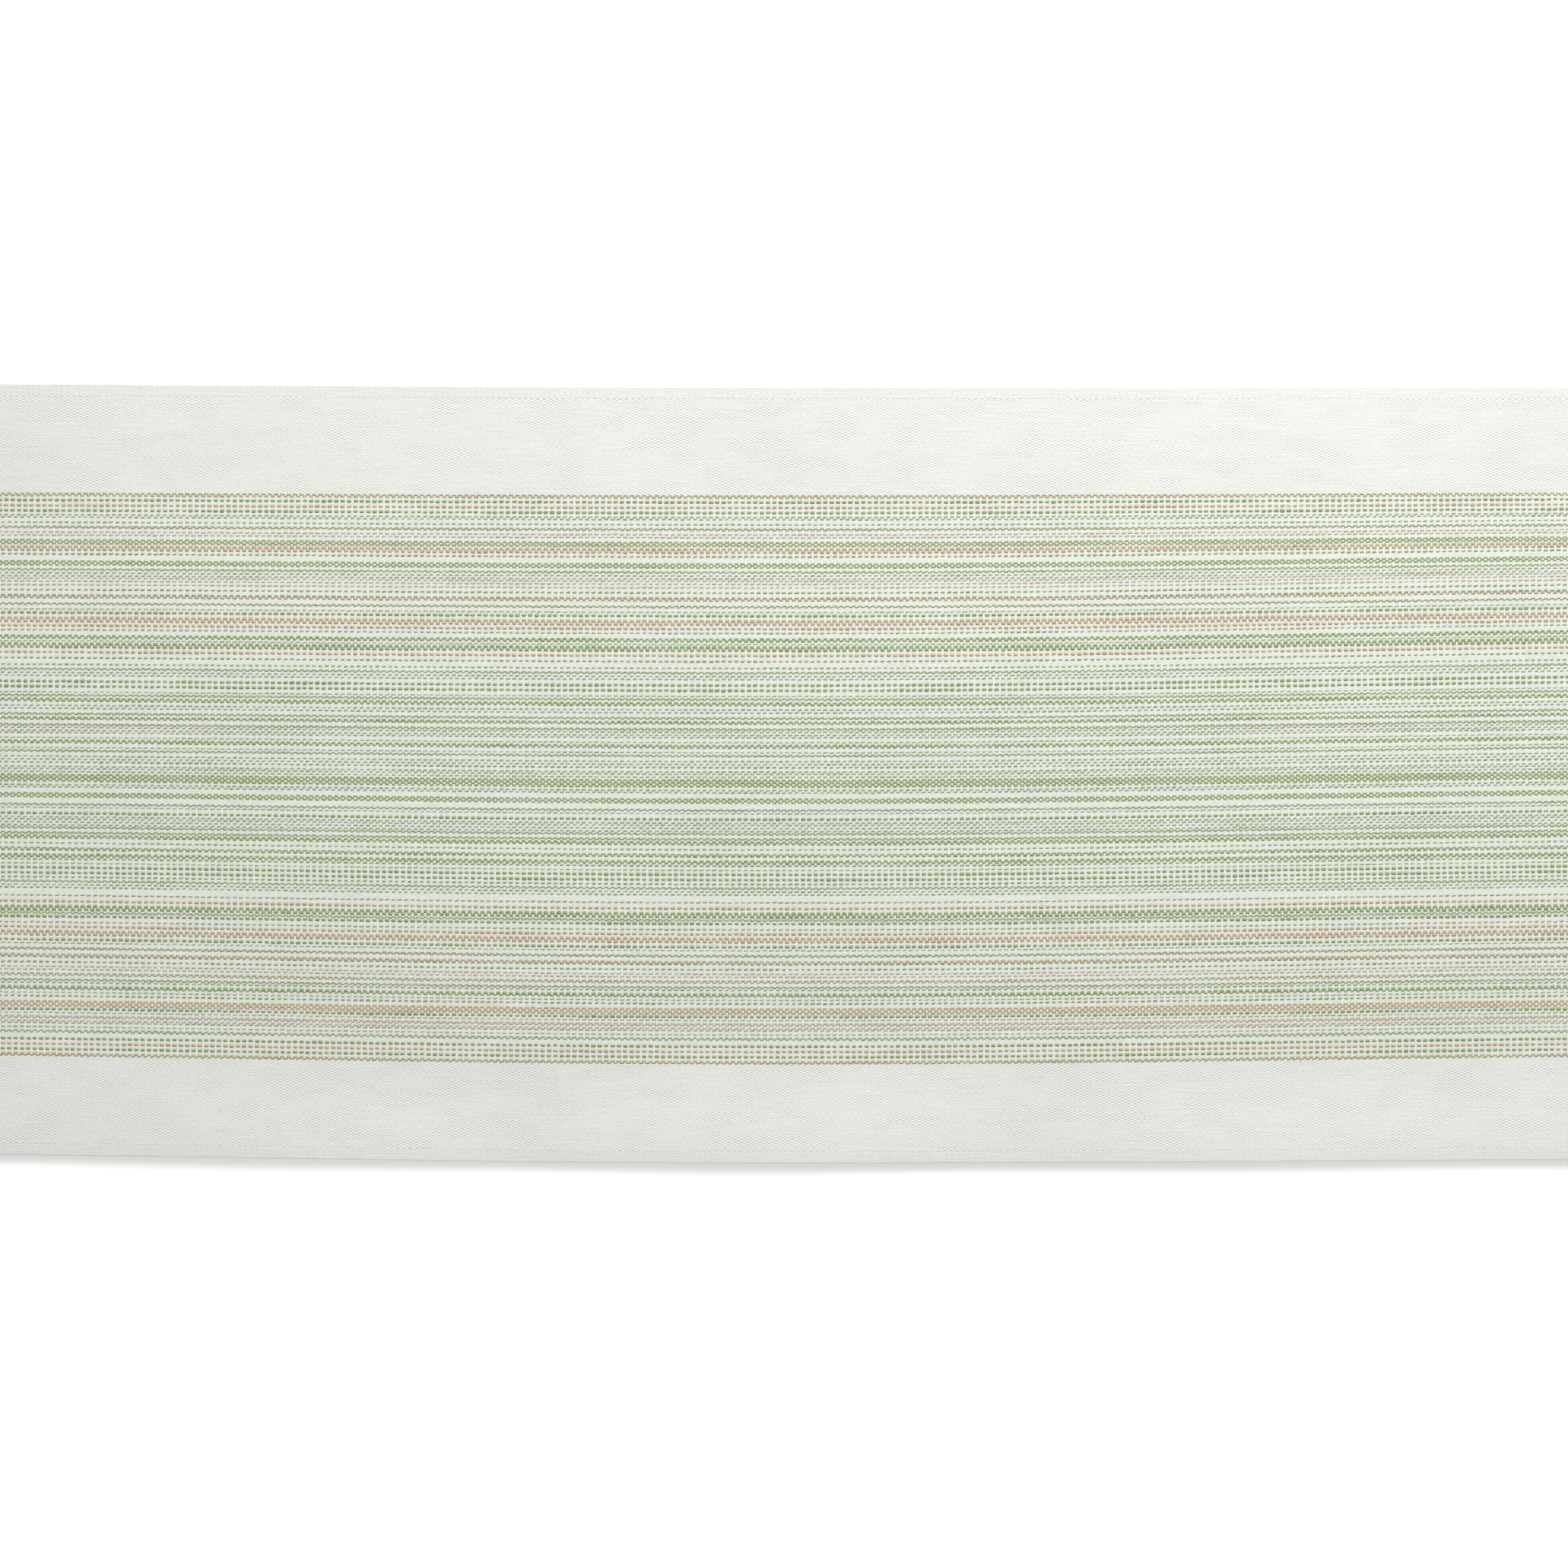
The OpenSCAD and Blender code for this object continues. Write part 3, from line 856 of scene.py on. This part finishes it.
def label():
    """Blank woven tape, caught between the hem's two top layers and lying under the ramp."""
    lo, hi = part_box("care_label")
    x = np.concatenate([np.linspace(HEM + LABEL_CAUGHT, HEM, 9), np.linspace(HEM, -hi.x, 24)[1:]])
    clear = 0.00002
    hang = up_ramp(x)[0] + RIB - LABEL_T - 0.00015
    z = np.where(x >= HEM, TOP_Z + RIB - GAP + clear, np.maximum(hang, clear))
    y = np.linspace(lo.y, hi.y, 11)
    n, k = len(x), len(y)
    xx, yy = np.meshgrid(x, y, indexing="ij")
    zz = np.broadcast_to(z[:, None], (n, k))
    low = np.stack([-xx, yy + bow(-xx, yy), zz], -1).reshape(-1, 3)
    high = low + np.array([0, 0, LABEL_T])
    i, j = np.meshgrid(np.arange(n - 1), np.arange(k - 1), indexing="ij")
    quad = np.stack([i * k + j, (i + 1) * k + j, (i + 1) * k + j + 1, i * k + j + 1], -1).reshape(-1, 4)
    ring = np.concatenate([
        np.arange(k), np.arange(1, n) * k + k - 1, (n - 1) * k + np.arange(k - 2, -1, -1),
        np.arange(n - 2, 0, -1) * k,
    ])
    nxt = np.roll(ring, -1)
    walls = np.stack([ring, ring + n * k, nxt + n * k, nxt], -1)
    obj = make_mesh(
        "care_label_tape", np.concatenate([low, high]), [quad, quad[:, ::-1] + n * k, walls[:, ::-1]],
        np.concatenate([np.stack([xx, yy, zz], -1).reshape(-1, 3)] * 2),
    )
    stand_for(obj, "label", "care_label")
    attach(obj, "left_end")
    return obj


tape = label()

# ---------------------------------------------------------------- floor, light and camera


def table_top():
    """A large white top, just under the runner, which glows a little so that it stays white."""
    size, z = 40.0, -0.00003
    co = np.array([(-size, -size, z), (size, -size, z), (size, size, z), (-size, size, z)])
    obj = make_mesh("table_top", co, [np.array([[0, 1, 2, 3]])], co)
    g = Graph("table_paint", roughness=0.9, sheen=0.0, specular=0.1)
    grain = g.noise(0.02, 0.02, 2.0)
    g.finish(g.mix(grain, [0.93, 0.93, 0.93], [0.95, 0.95, 0.95]), grain, 0.00001)
    g.shader.inputs["Emission Color"].default_value = (1, 1, 1, 1)
    g.shader.inputs["Emission Strength"].default_value = 0.24
    obj.data.materials.append(g.material)


table_top()


def area_light(name, place, target, size_x, size_y, power):
    """A soft box at place, turned to the target."""
    data = bpy.data.lights.new(name, "AREA")
    data.shape, data.size, data.size_y, data.energy = "RECTANGLE", size_x, size_y, power
    obj = bpy.data.objects.new(name, data)
    bpy.context.scene.collection.objects.link(obj)
    obj.location = place
    away = np.array(target) - np.array(place)
    obj.rotation_euler = Vector(away).to_track_quat("-Z", "Y").to_euler()
    return obj


def sun_light(name, place, energy, angle):
    """Even soft light from the direction of place."""
    data = bpy.data.lights.new(name, "SUN")
    data.energy, data.angle = energy, math.radians(angle)
    obj = bpy.data.objects.new(name, data)
    bpy.context.scene.collection.objects.link(obj)
    obj.rotation_euler = Vector(place).to_track_quat("Z", "Y").to_euler()
    return obj


area_light("key", (0.21, 0.79, 0.57), (0, 0.04, 0), 1.36, 0.8, 9.6)
sun_light("window", (0.25, 1.0, 1.0), 1.05, 50)



def studio_world():
    """White all round, brighter below and near the horizon than overhead."""
    world = bpy.data.worlds.new("studio")
    world.use_nodes = True
    bpy.context.scene.world = world
    nodes, links = world.node_tree.nodes, world.node_tree.links
    direction = nodes.new("ShaderNodeTexCoord")
    height = nodes.new("ShaderNodeSeparateXYZ")
    glow = nodes.new("ShaderNodeMapRange")
    for key, value in {"From Min": 0.1, "From Max": 0.35, "To Min": 0.95, "To Max": 0.475}.items():
        glow.inputs[key].default_value = value
    links.new(direction.outputs["Generated"], height.inputs[0])
    links.new(height.outputs["Z"], glow.inputs["Value"])
    links.new(glow.outputs[0], nodes["Background"].inputs["Color"])


studio_world()
bpy.context.scene.view_settings.view_transform = "Standard"

SENSOR = 36.0
VIEW_WIDTH = 0.667  # what the picture shows of the length
CAMERA_DROP = 0.0038  # the picture's middle is this far in front of the runner's
CAMERA_HEIGHT = 3.2
camera = bpy.data.objects.new("camera", bpy.data.cameras.new("camera"))
bpy.context.scene.collection.objects.link(camera)
camera.location = (0, -CAMERA_DROP, CAMERA_HEIGHT)
camera.rotation_euler = (0, 0, 0)
camera.data.sensor_width = SENSOR
camera.data.lens = SENSOR * (CAMERA_HEIGHT - T) / VIEW_WIDTH
camera.data.clip_start, camera.data.clip_end = 0.05, 200.0
bpy.context.scene.camera = camera
